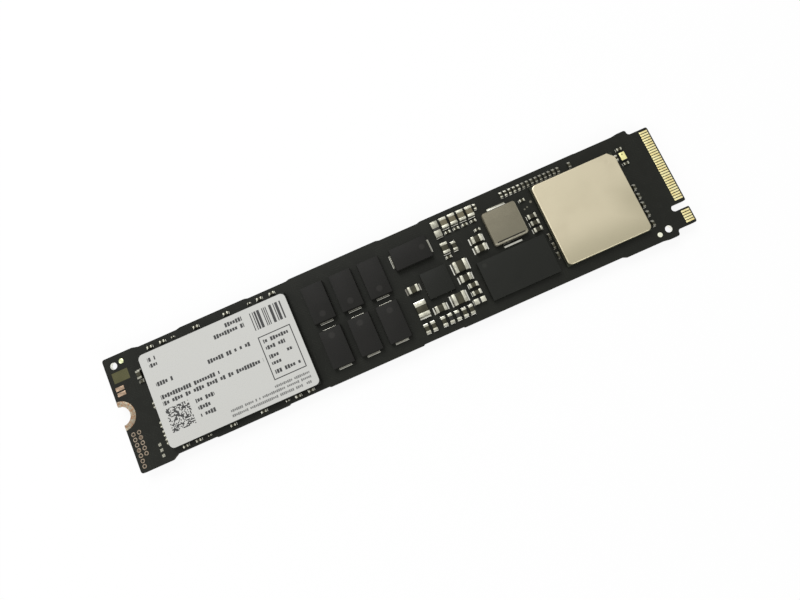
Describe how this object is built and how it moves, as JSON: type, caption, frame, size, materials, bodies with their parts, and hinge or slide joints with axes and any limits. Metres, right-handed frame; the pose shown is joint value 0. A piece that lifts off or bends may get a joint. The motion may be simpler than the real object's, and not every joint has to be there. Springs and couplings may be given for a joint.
{
  "type": "solid state drive card",
  "caption": "Long narrow solid state drive card: black board with a keyed gold contact edge, labelled memory, moulded capacitors, inductor and a metal-lidded controller.",
  "frame": {"origin": "Middle of the card's overall box, at its lowest level: the lower face of the memory packages.", "axes": "+X runs along the card from the screw notch to the contact tongue, +Y across the card with the key notch on its -Y half, +Z out of the labelled side."},
  "size_m": [0.11, 0.022, 0.0034],
  "materials": {
    "board_mask": "satin black solder mask over glass laminate",
    "gold_plating": "thin bright gold over nickel",
    "tinned_copper": "mottled tin over copper",
    "bare_copper": "dull bare copper",
    "bright_tin": "bright matte tin plating",
    "solder": "reflowed solder, softly bright",
    "label_film": "pale grey printed film, satin",
    "nickel_plate": "champagne nickel plate, finely matte",
    "package_laminate": "dark package laminate",
    "silicon": "polished grey silicon",
    "heat_paste": "soft grey paste",
    "pressed_core": "warm grey pressed powder, finely grained",
    "moulding": "black moulding compound, matte",
    "capacitor_case": "charcoal moulded resin, satin",
    "chip_ceramic": "olive grey ceramic",
    "dark_ceramic": "dark glazed ceramic",
    "crystal_cover": "pale gold plated cover"
  },
  "bodies": {
    "root": {"alignment_dots": "gold_plating", "capacitor_terminals": "bright_tin", "circuit_board": "board_mask", "controller_balls": "solder", "controller_die": "silicon", "controller_heat_paste": "heat_paste", "controller_lid": "nickel_plate", "controller_substrate": "package_laminate", "copper_strip_pads": "bare_copper", "crystal_base": "dark_ceramic", "crystal_lid": "crystal_cover", "diode_bodies": "dark_ceramic", "diode_ends": "bright_tin", "fuse_bodies": "dark_ceramic", "fuse_ends": "bright_tin", "ground_ring": "tinned_copper", "hold_up_capacitor_1": "capacitor_case", "hold_up_capacitor_2": "capacitor_case", "hold_up_capacitor_3": "capacitor_case", "hold_up_capacitor_4": "capacitor_case", "hold_up_capacitor_5": "capacitor_case", "hold_up_capacitor_6": "capacitor_case", "hold_up_capacitor_7": "capacitor_case", "inductor_core": "pressed_core", "inductor_terminals": "bright_tin", "label": "label_film", "large_capacitor_bodies": "chip_ceramic", "large_capacitor_ends": "bright_tin", "lower_buffer_balls": "solder", "lower_buffer_memory": "moulding", "lower_chip_bodies": "chip_ceramic", "lower_chip_ends": "bright_tin", "lower_contact_fingers": "gold_plating", "lower_memory_balls": "solder", "lower_memory_left": "moulding", "lower_memory_right": "moulding", "medium_capacitor_bodies": "chip_ceramic", "medium_capacitor_ends": "bright_tin", "mini_chip_bodies": "chip_ceramic", "mini_chip_ends": "bright_tin", "power_chip": "moulding", "power_chip_lands": "bright_tin", "small_capacitor_bodies": "chip_ceramic", "small_capacitor_ends": "bright_tin", "small_resistor_bodies": "dark_ceramic", "small_resistor_ends": "bright_tin", "solder_fillets": "solder", "test_pads": "bright_tin", "test_rings": "tinned_copper", "tiny_chip_bodies": "chip_ceramic", "tiny_chip_ends": "bright_tin", "upper_buffer_balls": "solder", "upper_buffer_memory": "moulding", "upper_contact_fingers": "gold_plating", "upper_memory_balls": "solder", "upper_memory_left": "moulding", "upper_memory_right": "moulding"}
  },
  "joints": []
}
